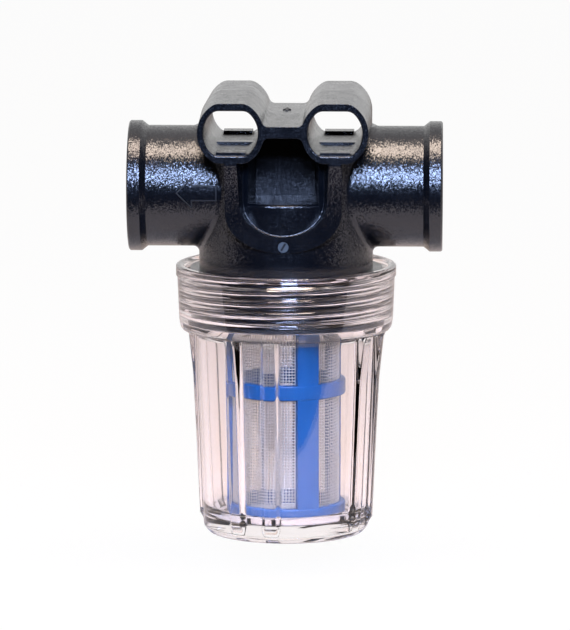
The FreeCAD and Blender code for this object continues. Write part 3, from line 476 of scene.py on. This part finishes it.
@dataclass
class Head:
    """The black moulding with its ports, sockets and bowl thread."""

    nylon: bpy.types.Material
    steel: bpy.types.Material
    rubber: bpy.types.Material
    thread_depth: float = 1.75
    skirt_radius: float = 34.6
    thread_turns: float = 2.75
    thread_base_share: float = 0.68
    crest_share: float = 0.16
    port_radius: float = 16.6
    port_depth: float = 19.0
    port_pitch: float = 2.309
    port_thread_depth: float = 1.35
    port_base_share: float = 0.9
    port_thread_gap: float = 0.8
    port_plain_length: float = 2.4
    pipe_height: float = 127.5
    port_face: float = 57.0
    pipe_radius: float = 22.0
    arrow_tip: float = 38.9
    arrow_barb: float = 33.5
    arrow_start: float = 24.6
    arrow_half_width: float = 5.35
    arrow_shaft_half_width: float = 2.65
    arrow_rise: float = 0.35
    arrow_line: float = 0.42
    arrow_step: float = 0.7
    screw_slot_angle: float = 30.0
    mark_rise: float = 0.4
    mark_sink: float = 0.3
    web_mark_place: tuple = (0.0, 12.0, 153.91)
    barrel_mark_place: tuple = (0.2, -31.7, 117.8)
    screw_place: tuple = (0.0, -31.7, 109.3)
    arrow_overlap: float = 0.2
    widest_miter: float = 0.3

    def bowl_thread(self) -> bpy.types.Object:
        """The round male thread on the skirt."""
        ridge = HelicalRidge(self.skirt_radius, self.thread_depth, THREAD_PITCH, THREAD_START,
                             self.thread_turns, self.thread_base_share, self.crest_share,
                             Facing.OUTWARD, steps=160)
        points = ridge.points()
        return make_piece("skirt_thread", points.reshape(-1, 3), ridge.faces(len(points)), self.nylon,
                          "head")

    def port_thread(self, name: str, side: int) -> bpy.types.Object:
        """The pipe thread inside one port, right-handed from its own mouth.

        Args:
            name: the piece's name.
            side: 1 at the inlet, -1 at the outlet.

        Returns:
            The thread's piece.
        """
        turns = (self.port_depth - self.port_plain_length) / self.port_pitch
        ridge = HelicalRidge(self.port_radius, self.port_thread_depth, self.port_pitch, 0, turns,
                             self.port_base_share, self.crest_share, Facing.INWARD, steps=90)
        local = ridge.points()
        flat = local.reshape(-1, 3)
        depth = self.port_face - self.port_depth + self.port_thread_gap + flat[:, 2]
        placed = np.stack([side * depth, flat[:, 1] * side, self.pipe_height + flat[:, 0]], axis=1)
        faces = [face[::-1] for face in ridge.faces(len(local))]
        return make_piece(name, placed, faces, self.nylon, "head")

    def mark(self, name: str, outline: list, corner: Vector, across: Vector, along: Vector,
             material: bpy.types.Material) -> None:
        """A small raised mark: a flat outline that stands a little off the surface.

        Args:
            name: the piece's name.
            outline: (across, along) points in order, anticlockwise seen from outside.
            corner: where the outline's origin lies, on the surface.
            across: unit vector of the outline's first number.
            along: unit vector of the outline's second number.
            material: its finish.
        """
        out = across.cross(along)
        spots = [corner + across * u + along * v for u, v in outline]
        points = np.array([spot - out * self.mark_sink for spot in spots]
                          + [spot + out * self.mark_rise for spot in spots])
        count = len(outline)
        faces = [list(range(count))[::-1], list(range(count, 2 * count))]
        faces += [[i, (i + 1) % count, (i + 1) % count + count, i + count] for i in range(count)]
        make_piece(name, points, faces, material, "head", smooth=False)

    def marks(self) -> None:
        """A way-up mark on the web, a mould mark on the barrel, and painted shade in the bleed screw's
        slot: a thin black bar that darkens the slot.
        """
        x_axis, y_axis, z_axis = Vector((1, 0, 0)), Vector((0, 1, 0)), Vector((0, 0, 1))
        self.mark("web_mark", WEB_ARROW, Vector(self.web_mark_place), x_axis, y_axis, self.rubber)
        self.mark("barrel_mark", CHEVRON, Vector(self.barrel_mark_place), x_axis, z_axis, self.nylon)
        lean = math.radians(self.screw_slot_angle)
        down_slot = Vector((math.sin(lean), 0, math.cos(lean)))
        across_slot = Vector((math.cos(lean), 0, -math.sin(lean)))
        # Painted shade: a thin black rubber bar lies in the screw's slot so that the recess shows dark.
        self.mark("painted_slot_shade", SLOT_BAR, Vector(self.screw_place), across_slot, down_slot, self.rubber)

    def arrow_painted_shade_line(self) -> None:
        """A fine raised line round the flow arrow on the outlet pipe, in the dull rubber finish so that it
        shows in the gloss: painted shade standing in for the darker edges of the raised arrow.

        The line follows the arrow's outline, bent round the pipe, with a square section and mitred corners.
        """
        tip, barb, start = -self.arrow_tip, -self.arrow_barb, -self.arrow_start
        wide, slim = self.arrow_half_width, self.arrow_shaft_half_width
        corners = np.array([(tip, 0), (barb, -wide), (barb, -slim), (start, -slim), (start, slim),
                            (barb, slim), (barb, wide)], dtype=float)
        dense = divide(np.concatenate([corners, corners[:1]]), self.arrow_step)[:-1]
        ahead = np.roll(dense, -1, axis=0) - dense
        behind = dense - np.roll(dense, 1, axis=0)
        mean = (ahead / np.linalg.norm(ahead, axis=1, keepdims=True)
                + behind / np.linalg.norm(behind, axis=1, keepdims=True))
        side = np.stack([mean[:, 1], -mean[:, 0]], axis=1)
        side /= np.maximum((side ** 2).sum(axis=1, keepdims=True) / 2, self.widest_miter)
        half = self.arrow_line / 2
        low = self.pipe_radius + self.arrow_rise - self.arrow_overlap
        high = self.pipe_radius + self.arrow_rise + self.arrow_overlap
        rings = []
        for reach, radius in ((half, low), (half, high), (-half, high), (-half, low)):
            flat = dense + side * reach
            rings.append(np.stack([flat[:, 0], -np.sqrt(radius ** 2 - flat[:, 1] ** 2),
                                   self.pipe_height + flat[:, 1]], axis=1))
        points = np.stack(rings, axis=1)
        faces = grid_faces(len(points), 4, True, True)
        # Painted shade: the arrow's outline is a dull rubber line so that it shows dark against the glossy
        # nylon.
        make_piece("arrow_painted_shade_line", points.reshape(-1, 3), list(faces), self.rubber, "head",
                   smooth=False)

    def build(self) -> None:
        """Build and dress the head."""
        dress("strainer_head", self.nylon)
        dress("bleed_screw", self.steel)
        dress("bleed_screw_seal", self.rubber)
        self.marks()
        self.arrow_painted_shade_line()
        self.bowl_thread()
        self.port_thread("inlet_port_thread", 1)
        self.port_thread("outlet_port_thread", -1)


# ---------------------------------------------------------------- bowl
@dataclass
class Bowl:
    """The clear bowl, one closed surface turned about Z with grip ribs outside and a thread inside."""

    clear: bpy.types.Material
    rubber: bpy.types.Material
    columns: int = 576
    thread_depth: float = 2.0
    thread_low: float = 81.4
    thread_full: float = 83.0
    groove_half_share: float = 0.40
    groove_flank_share: float = 0.30
    groove_softness: float = 0.25
    thread_step: float = 0.3
    bore: float = 34.9
    bottom_radius: float = 30.3
    top_radius: float = 33.1
    wall: float = 3.0
    rib_angles: tuple = (-33.0, -8.3)
    rib_pairs: int = 4
    rib_heights: tuple = (1.4, 6.0, 38.4, 57.8, 72.6, 74.9, 76.4)
    rib_radii: tuple = (30.6, 31.9, 33.4, 34.4, 36.0, 36.9, 38.0)
    rib_top_width: float = 4.0
    rib_base_width: float = 7.4
    rib_blend: float = 0.3
    rib_sink: float = 1.5

    def outline(self) -> tuple[np.ndarray, int]:
        """The section's outline from the middle of the underside to the middle of the inner floor.

        Returns:
            Points (radius, height) and the index of the lip's top.
        """
        outside = round_outline([
            (0.4, 1.5, 0), (23.0, 1.5, 0.8), (24.4, 0.0, 0.6), (28.2, 0.0, 2.2),
            (self.bottom_radius - 0.1, 2.4, 1.8), (self.bottom_radius + 0.1, 6.0, 2.0),
            (self.top_radius, 73.0, 0.8), (self.top_radius + 0.8, 74.9, 0.8), (38.4, 74.9, 2.6),
            (39.1, 79.0, 1.5), (39.7, 94.2, 0.2), (39.75, 94.6, 0.2), (40.2, 95.0, 0.35), (40.2, 98.6, 0.6),
            (39.3, 99.0, 0.5), (38.0, 99.0, 0.0)])
        inside = round_outline([
            (38.0, 99.0, 0.0), (35.9, 97.1, 0.5), (35.2, 96.4, 0.3), (self.bore, 95.9, 0.2),
            (self.bore, self.thread_low, 0.2), (36.0, 80.3, 0.2), (36.0, 78.4, 0.3),
            (self.top_radius - self.wall + 0.4, 78.4, 0.6), (self.top_radius - self.wall, 76.8, 0.5),
            (self.bottom_radius - self.wall, 10.2, 2.5), (self.bottom_radius - self.wall - 2.6, 6.2, 3.0),
            (0.4, 6.2, 0)])
        below = np.argmax(inside[:, 1] <= self.thread_low + 0.1)
        mouth = divide(inside[:below], self.thread_step)
        thread = divide(np.array([mouth[-1], [self.bore, self.thread_low]]), self.thread_step)
        full = np.concatenate([divide(outside, 1.6), mouth[1:-1], thread[:-1], divide(inside[below:], 4.0)])
        keep = np.concatenate([[True], np.linalg.norm(np.diff(full, axis=0), axis=1) > 1e-4])
        full = full[keep]
        return full, int(np.argmax(full[:, 1] >= full[:, 1].max() - 0.01))

    def rib_lift(self, radius: np.ndarray, height: np.ndarray, angle: np.ndarray) -> np.ndarray:
        """Radius of the outside with its ribs: the wall, or the rib's top where that stands further out.

        Across a rib the surface climbs smoothly from the wall over the flank to the rib's top.

        Args:
            radius: the plain wall's radius, one column.
            height: the points' heights, one column.
            angle: the points' angles from -Y towards +X, one row.

        Returns:
            The radius at each point.
        """
        crest = np.interp(height, self.rib_heights, self.rib_radii, left=0.0, right=0.0)
        start, nose = self.rib_heights[:2]
        sunk = self.bottom_radius - self.rib_sink
        rounded = sunk + (crest - sunk) * np.sqrt(np.clip((height - start) / (nose - start), 0, 1))
        crest = np.where(height < nose, rounded, crest)
        pair = TURN / self.rib_pairs
        result = np.broadcast_to(radius, (radius.shape[0], angle.shape[1])).copy()
        for degrees in self.rib_angles:
            offset = (angle - math.radians(degrees) + pair / 2) % pair - pair / 2
            across = np.abs(offset) * crest
            flank = 1 - smooth_step(across, self.rib_top_width / 2 - self.rib_blend,
                                    self.rib_base_width / 2 + self.rib_blend)
            ribbed = radius + np.maximum(crest - radius, 0) * flank
            inside_zone = (height > start) & (height < self.rib_heights[-1])
            result = np.where(inside_zone, np.maximum(result, ribbed), result)
        return result

    def thread_cut(self, height: np.ndarray, angle: np.ndarray) -> np.ndarray:
        """How deep the female thread is at a point.

        The groove is a trapezoid in the phase (height - start) / pitch - angle / 2 pi, deepest where the
        skirt's ridge lies. It fades at its lower end and runs out through the mouth, so the bowl unscrews.

        Args:
            height: the points' heights, one column.
            angle: the points' angles from -Y towards +X, one row.

        Returns:
            The depth at each point.
        """
        turn = np.arctan2(-np.cos(angle), np.sin(angle))
        phase = ((height - THREAD_START) / THREAD_PITCH - turn / TURN + 0.5) % 1 - 0.5
        groove = np.clip((self.groove_half_share - np.abs(phase)) / self.groove_flank_share, 0, 1)
        groove = (smooth_step(groove, 0, 1) * self.groove_softness
                  + groove * (1 - self.groove_softness))
        return self.thread_depth * groove * smooth_step(height, self.thread_low, self.thread_full)

    def shell(self) -> bpy.types.Object:
        """The bowl's closed surface: the outline turned about Z, its ribs and its thread worked into it."""
        outline, lip = self.outline()
        angle = np.linspace(0, TURN, self.columns, endpoint=False)[None, :]
        radius = outline[:, :1]
        height = outline[:, 1:]
        surface = np.broadcast_to(radius, (len(outline), self.columns)).copy()
        surface[:lip] = self.rib_lift(radius[:lip], height[:lip], angle)
        inner = slice(lip, len(outline))
        threaded = (height[inner] > self.thread_low) & (radius[inner] < self.bore + self.thread_depth)
        cut = np.where(threaded, self.bore + self.thread_cut(height[inner], angle), 0)
        surface[inner] = np.maximum(surface[inner], cut)
        points = np.stack([surface * np.sin(angle), -surface * np.cos(angle),
                           np.broadcast_to(height, surface.shape)], axis=2).reshape(-1, 3)
        rows = len(outline)
        quads = grid_faces(rows, self.columns, False, True)
        low_pole = rows * self.columns
        points = np.concatenate([points, [[0, 0, outline[0, 1]], [0, 0, outline[-1, 1]]]])
        ring = np.arange(self.columns)
        ahead = (ring + 1) % self.columns
        last = (rows - 1) * self.columns
        low_fan = np.stack([np.full(self.columns, low_pole), ahead, ring], axis=1)
        high_fan = np.stack([np.full(self.columns, low_pole + 1), last + ring, last + ahead], axis=1)
        faces = list(quads) + list(low_fan) + list(high_fan)
        piece = make_piece("clear_bowl", points, faces, self.clear, "bowl")
        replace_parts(piece, "bowl")
        return piece

    def build(self) -> None:
        """Build and dress the bowl and its gasket."""
        self.shell()
        dress("bowl_gasket", self.rubber)


# ---------------------------------------------------------------- basket
@dataclass
class Basket:
    """The filter basket: a blue frame and a woven wire screen inside it."""

    blue: bpy.types.Material
    steel: bpy.types.Material
    screen_radius: float = 19.35
    wire: float = 0.34
    pitch: float = 1.1
    low: float = 6.5
    high: float = 86.6
    sway: float = 0.42
    floor_sway: float = 0.35
    floor_height: float = 6.45
    floor_gap: float = 0.1

    def wire_tube(self, path: np.ndarray, sideways: np.ndarray,
                  closed: bool) -> tuple[np.ndarray, np.ndarray]:
        """Three-sided wires along many paths at once.

        Each section is a triangle spanned by the sideways vector and its cross product with the path.

        Args:
            path: points, as wires x steps x 3.
            sideways: unit vectors across the wires, the same shape.
            closed: whether each wire's end joins its start.

        Returns:
            Points and quads.
        """
        if closed:
            ahead = np.roll(path, -1, axis=1) - np.roll(path, 1, axis=1)
        else:
            ahead = np.gradient(path, axis=1)
        ahead /= np.linalg.norm(ahead, axis=2, keepdims=True)
        other = np.cross(ahead, sideways)
        spread = self.wire / 2
        turns = np.array([0, TURN / 3, 2 * TURN / 3])
        section = (np.cos(turns)[None, None, :, None] * sideways[:, :, None, :]
                   + np.sin(turns)[None, None, :, None] * other[:, :, None, :]) * spread
        points = path[:, :, None, :] + section
        wires, steps = path.shape[:2]
        quads = grid_faces(steps, 3, closed, True)
        offsets = (np.arange(wires) * steps * 3)[:, None, None]
        return points.reshape(-1, 3), (quads[None] + offsets).reshape(-1, 4)

    def weave(self) -> tuple[np.ndarray, np.ndarray, np.ndarray]:
        """Where the screen's wires cross.

        Returns:
            Outward unit vectors, as uprights x hoops x 3, how far each upright sways out at each
            crossing, as uprights x hoops, and the hoops' heights.
        """
        uprights = int(TURN * self.screen_radius / self.pitch) // 2 * 2
        hoops = int((self.high - self.low) / self.pitch)
        around = np.broadcast_to(np.arange(uprights)[:, None] * TURN / uprights, (uprights, hoops))
        out = np.stack([np.cos(around), np.sin(around), np.zeros_like(around)], axis=2)
        even = np.add.outer(np.arange(uprights), np.arange(hoops)) % 2 == 0
        sway = np.where(even, 1, -1) * self.wire * self.sway
        return out, sway, self.low + (np.arange(hoops) + 0.5) * self.pitch

    def uprights(self) -> bpy.types.Object:
        """The screen's upright wires, which weave in and out of the hoops."""
        out, sway, height = self.weave()
        path = out * (self.screen_radius + sway)[:, :, None]
        path[:, :, 2] = height
        points, quads = self.wire_tube(path, out, False)
        return make_piece("screen_uprights", points, list(quads), self.steel, "bowl")

    def hoops(self) -> bpy.types.Object:
        """The screen's round wires, which weave the other way."""
        out, sway, height = self.weave()
        out = out.swapaxes(0, 1)
        path = out * (self.screen_radius - sway.T)[:, :, None]
        path[:, :, 2] = height[:, None]
        points, quads = self.wire_tube(path, out, True)
        return make_piece("screen_hoops", points, list(quads), self.steel, "bowl")

    def floor_screen(self) -> bpy.types.Object:
        """The woven disc across the basket's lower end: wires in two directions, cut to the circle."""
        radius = self.screen_radius - self.floor_gap
        count = int(2 * radius / self.pitch)
        offset = (np.arange(count) - (count - 1) / 2) * self.pitch
        reach = np.sqrt(np.maximum(radius ** 2 - offset ** 2, 0.01))
        share = np.linspace(-1, 1, count)[None, :]
        wave = np.where(np.add.outer(np.arange(count), np.arange(count)) % 2 == 0, 1, -1)
        along = share * reach[:, None]
        across = np.broadcast_to(offset[:, None], along.shape)
        up = self.floor_height + wave * self.wire * self.floor_sway
        first = np.stack([along, across, up], axis=2)
        second = np.stack([across, along, 2 * self.floor_height - up], axis=2)
        lift = np.zeros_like(first)
        lift[:, :, 2] = 1
        points_a, quads_a = self.wire_tube(first, lift, False)
        points_b, quads_b = self.wire_tube(second, lift, False)
        points = np.concatenate([points_a, points_b])
        quads = np.concatenate([quads_a, quads_b + len(points_a)])
        return make_piece("floor_screen", points, list(quads), self.steel, "bowl")

    def build(self) -> None:
        """Build and dress the basket."""
        uprights = self.uprights()
        self.hoops()
        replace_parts(uprights, "basket_mesh")
        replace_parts(self.floor_screen(), "basket_floor_mesh")
        dress("basket_frame", self.blue)


# ---------------------------------------------------------------- studio
@dataclass
class Lamp:
    """One area lamp aimed at the strainer."""

    name: str
    azimuth: float
    elevation: float
    distance: float
    width: float
    height: float
    power: float
    colour: str

    def build(self, target: Vector) -> None:
        """Make the lamp.

        Args:
            target: the point it is aimed at.
        """
        data = bpy.data.lights.new(self.name, "AREA")
        data.shape = "RECTANGLE"
        data.size = self.width
        data.size_y = self.height
        data.energy = self.power
        data.color = linear(self.colour)[:3]
        lamp = bpy.data.objects.new(self.name, data)
        bpy.context.scene.collection.objects.link(lamp)
        lamp.location = target + direction(self.azimuth, self.elevation) * self.distance
        lamp.rotation_euler = (target - lamp.location).to_track_quat("-Z", "Y").to_euler()


def direction(azimuth: float, elevation: float) -> Vector:
    """Unit vector from the strainer.

    Args:
        azimuth: degrees from -Y towards +X.
        elevation: degrees above the level.

    Returns:
        The vector.
    """
    turn, climb = math.radians(azimuth), math.radians(elevation)
    return Vector((math.sin(turn) * math.cos(climb), -math.cos(turn) * math.cos(climb), math.sin(climb)))


@dataclass
class Studio:
    """Camera, lamps, surroundings and floor. Its lengths are in metres, but for the lens and sensor."""

    view_azimuth: float = 1.93
    view_elevation: float = 8.78
    view_distance: float = 2.1
    lens: float = 328.1
    sensor: float = 36
    sight: float = 50
    aim: tuple = (-0.0004, 0.0, 0.0798)
    floor_half: float = 3.0
    floor_drop: float = 0.0132
    floor_front: float = 0.2
    floor_colour: str = "d9d2cc"
    floor_glow: float = 0.95
    tones: tuple = ((0.0, "1c1918"), (0.38, "37312e"), (0.6, "f6efed"), (1.0, "ffffff"))
    lamps: list = field(default_factory=lambda: [
        Lamp("warm_overhead", 10, 78, 0.9, 0.5, 0.3, 10.0, "ffead9"),
        Lamp("cool_front", 4, 28, 1.3, 0.38, 0.36, 28.0, "b4ccff"),
    ])

    def camera(self) -> None:
        """Make the camera."""
        data = bpy.data.cameras.new("camera")
        data.lens = self.lens
        data.sensor_width = self.sensor
        data.clip_end = self.sight
        item = bpy.data.objects.new("camera", data)
        bpy.context.scene.collection.objects.link(item)
        target = Vector(self.aim)
        item.location = target + direction(self.view_azimuth, self.view_elevation) * self.view_distance
        item.rotation_euler = (target - item.location).to_track_quat("-Z", "Y").to_euler()
        bpy.context.scene.camera = item

    def surroundings(self) -> None:
        """Surroundings from white behind to dark and warm in front; the camera sees plain white."""
        world = bpy.data.worlds.new("surroundings")
        bpy.context.scene.world = world
        world.use_nodes = True
        tree = world.node_tree
        tree.nodes.clear()
        output = tree.nodes.new("ShaderNodeOutputWorld")
        place = add_node(tree, "ShaderNodeTexCoord")
        parts = add_node(tree, "ShaderNodeSeparateXYZ", {0: place.outputs["Generated"]})
        depth = add_node(tree, "ShaderNodeMapRange", {"Value": parts.outputs["Y"]},
                         {"From Min": -1.0, "From Max": 1.0})
        tone = add_node(tree, "ShaderNodeValToRGB", {0: depth.outputs["Result"]})
        stops = tone.color_ramp.elements
        for position, _ in self.tones[1:-1]:
            stops.new(position)
        for stop, (position, colour) in zip(stops, self.tones):
            stop.position = position
            stop.color = linear(colour)
        around = add_node(tree, "ShaderNodeBackground", {"Color": tone.outputs["Color"]}, {"Strength": 1.0})
        seen = add_node(tree, "ShaderNodeBackground", None, {"Color": WHITE, "Strength": 1.0})
        path = add_node(tree, "ShaderNodeLightPath")
        mixed = add_node(tree, "ShaderNodeMixShader",
                         {0: path.outputs["Is Camera Ray"], 1: around.outputs[0], 2: seen.outputs[0]})
        tree.links.new(mixed.outputs[0], output.inputs["Surface"])

    def floor(self) -> None:
        """A plain pale floor with a faint shadow, low enough for the bowl to be unscrewed above it."""
        material, tree, output = new_material("pale_floor")
        plain = add_node(tree, "ShaderNodeBsdfDiffuse", None, {"Color": linear(self.floor_colour)})
        glow = add_node(tree, "ShaderNodeEmission", None, {"Color": WHITE, "Strength": 1.0})
        path = add_node(tree, "ShaderNodeLightPath")
        share = add_node(tree, "ShaderNodeMath", {0: path.outputs["Is Camera Ray"]}, {1: self.floor_glow},
                         operation="MULTIPLY")
        mixed = add_node(tree, "ShaderNodeMixShader",
                         {0: share.outputs[0], 1: plain.outputs[0], 2: glow.outputs[0]})
        tree.links.new(mixed.outputs[0], output.inputs["Surface"])
        half, front, low = self.floor_half, -self.floor_front, -self.floor_drop
        mesh = bpy.data.meshes.new("floor")
        mesh.from_pydata([(-half, front, low), (half, front, low), (half, half, low), (-half, half, low)],
                         [], [(0, 1, 2, 3)])
        mesh.materials.append(material)
        item = bpy.data.objects.new("floor", mesh)
        bpy.context.scene.collection.objects.link(item)

    def build(self) -> None:
        """Set up the studio."""
        bpy.context.scene.view_settings.view_transform = "Standard"
        self.camera()
        self.surroundings()
        self.floor()
        for lamp in self.lamps:
            lamp.build(Vector(self.aim))


def main() -> None:
    """Build the studio and every piece in order."""
    nylon = BlackNylon().build()
    rubber = NitrileRubber().build()
    wire = DrawnStainless().build()
    turned = DrawnStainless("turned_stainless", "6f777c", line_mm=0.4).build()
    Studio().build()
    Head(nylon, turned, rubber).build()
    Bowl(ClearPolycarbonate().build(), rubber).build()
    Basket(BluePolypropylene().build(), wire).build()


if __name__ == "__main__":
    main()
